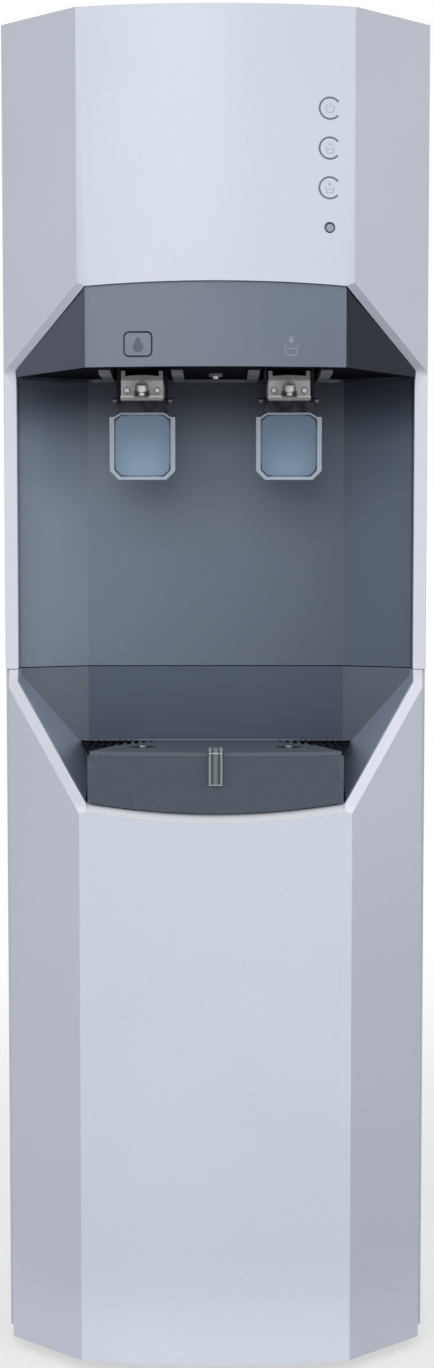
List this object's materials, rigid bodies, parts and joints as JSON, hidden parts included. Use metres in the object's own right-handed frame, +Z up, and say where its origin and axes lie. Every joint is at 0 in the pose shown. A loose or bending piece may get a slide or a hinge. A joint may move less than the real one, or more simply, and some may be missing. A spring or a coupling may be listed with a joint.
{
  "type": "hot and cold water dispenser",
  "caption": "Tall free-standing cabinet water dispenser with a bowed faceted front and an open recess holding hot and cold taps worked by cup paddles over a slotted drip tray.",
  "frame": {"origin": "on the floor, under the middle of the cabinet's overall box", "axes": "+Z up, the bowed front faces -Y, +X to the right as seen from the front"},
  "size_m": [0.34, 0.4, 1.07],
  "materials": {
    "shell_gloss": "moulded cover, glossy light silver",
    "shell_sheet": "painted sheet steel, light silver, satin",
    "sheet_steel": "plain galvanised or stainless sheet",
    "bright_steel": "polished steel outlet, pin or screw",
    "alcove_grey": "fine satin moulding, blue grey",
    "canopy_grey": "semi-gloss moulding, mid blue grey",
    "basin_grey": "fine satin moulding, dark blue grey",
    "tap_grey": "satin moulding, warm grey",
    "black_plastic": "satin black moulding",
    "black_steel": "black painted steel",
    "clear_plastic": "clear moulded plastic",
    "tinted_plastic": "blue tinted clear plastic",
    "rubber": "black rubber",
    "copper": "drawn copper tube",
    "foam": "moulded insulating foam",
    "board": "green circuit board with its parts",
    "white_plastic": "white moulded plastic",
    "button_grey": "satin light grey moulding",
    "float_red": "red float",
    "heater": "aluminium band heater"
  },
  "bodies": {
    "cabinet": {"upper_front_cover": "shell_gloss", "lower_front_panel": "shell_gloss", "side_panel_left": "shell_sheet", "side_panel_right": "shell_sheet", "top_cover": "shell_gloss", "rear_panel": "shell_sheet", "base_plate": "sheet_steel", "tank_shelf": "sheet_steel", "rubber_feet": "rubber", "panel_screws": "bright_steel", "alcove_back_panel": "alcove_grey", "drip_basin": "basin_grey", "canopy": "canopy_grey", "ceiling_plate": "alcove_grey", "ceiling_screw": "bright_steel", "hot_tap_body": "tap_grey", "cold_tap_body": "tap_grey", "hot_nozzle": "bright_steel", "cold_nozzle": "bright_steel", "tap_nuts": "sheet_steel", "hot_hinge_pin": "bright_steel", "cold_hinge_pin": "bright_steel", "safety_switch": "black_plastic", "display_board": "board", "compressor": "black_steel", "compressor_grommets": "rubber", "filter_dryer": "copper", "refrigerant_lines": "copper", "condenser_tube": "black_steel", "condenser_wires": "black_steel", "condenser_brackets": "sheet_steel", "cold_tank": "sheet_steel", "evaporator_coil": "copper", "cold_tank_jacket": "foam", "hot_tank": "sheet_steel", "band_heater": "heater", "hot_tank_jacket": "foam", "filter_cartridges": "white_plastic", "filter_head": "white_plastic", "inlet_valve": "white_plastic", "inlet_line": "white_plastic", "filtered_line": "white_plastic", "hot_line": "white_plastic", "cold_line": "white_plastic", "control_board": "board", "water_inlet_fitting": "white_plastic", "tank_drain_fitting": "white_plastic", "mains_inlet": "black_plastic"},
    "hot_lever": {"hot_lever_yoke": "black_plastic", "hot_paddle_frame": "clear_plastic", "hot_paddle_plate": "tinted_plastic"},
    "cold_lever": {"cold_lever_yoke": "black_plastic", "cold_paddle_frame": "clear_plastic", "cold_paddle_plate": "tinted_plastic"},
    "safety_button": {"hot_safety_button": "canopy_grey"},
    "round_button": {"function_button": "button_grey"},
    "drip_tray": {"drip_tray": "basin_grey", "level_window": "clear_plastic"},
    "drip_grille": {"drip_grille": "basin_grey"},
    "level_float": {"level_float": "float_red"}
  },
  "joints": [
    {"name": "hot_lever_hinge", "type": "hinge", "parent": "cabinet", "child": "hot_lever", "pos_m": [-0.059, -0.112, 0.776], "axis": [1, 0, 0], "range_deg": [0, 12], "stiffness_Nm_per_rad": 0.25, "springref_deg": -5.73},
    {"name": "cold_lever_hinge", "type": "hinge", "parent": "cabinet", "child": "cold_lever", "pos_m": [0.059, -0.112, 0.776], "axis": [1, 0, 0], "range_deg": [0, 12], "stiffness_Nm_per_rad": 0.25, "springref_deg": -5.73},
    {"name": "safety_button_press", "type": "slide", "parent": "cabinet", "child": "safety_button", "axis": [0, 1, 0], "range_m": [0, 0.002], "stiffness_N_per_m": 400, "springref_m": -0.001},
    {"name": "round_button_press", "type": "slide", "parent": "cabinet", "child": "round_button", "axis": [0, 1, 0], "range_m": [0, 0.0012], "stiffness_N_per_m": 600, "springref_m": -0.0006},
    {"name": "drip_tray_slide", "type": "slide", "parent": "cabinet", "child": "drip_tray", "axis": [0, -1, 0], "range_m": [0, 0.15]},
    {"name": "drip_grille_lift", "type": "slide", "parent": "drip_tray", "child": "drip_grille", "axis": [0, 0, 1], "range_m": [0, 0.03]},
    {"name": "level_float_rise", "type": "slide", "parent": "drip_tray", "child": "level_float", "axis": [0, 0, 1], "range_m": [0, 0.013]}
  ]
}
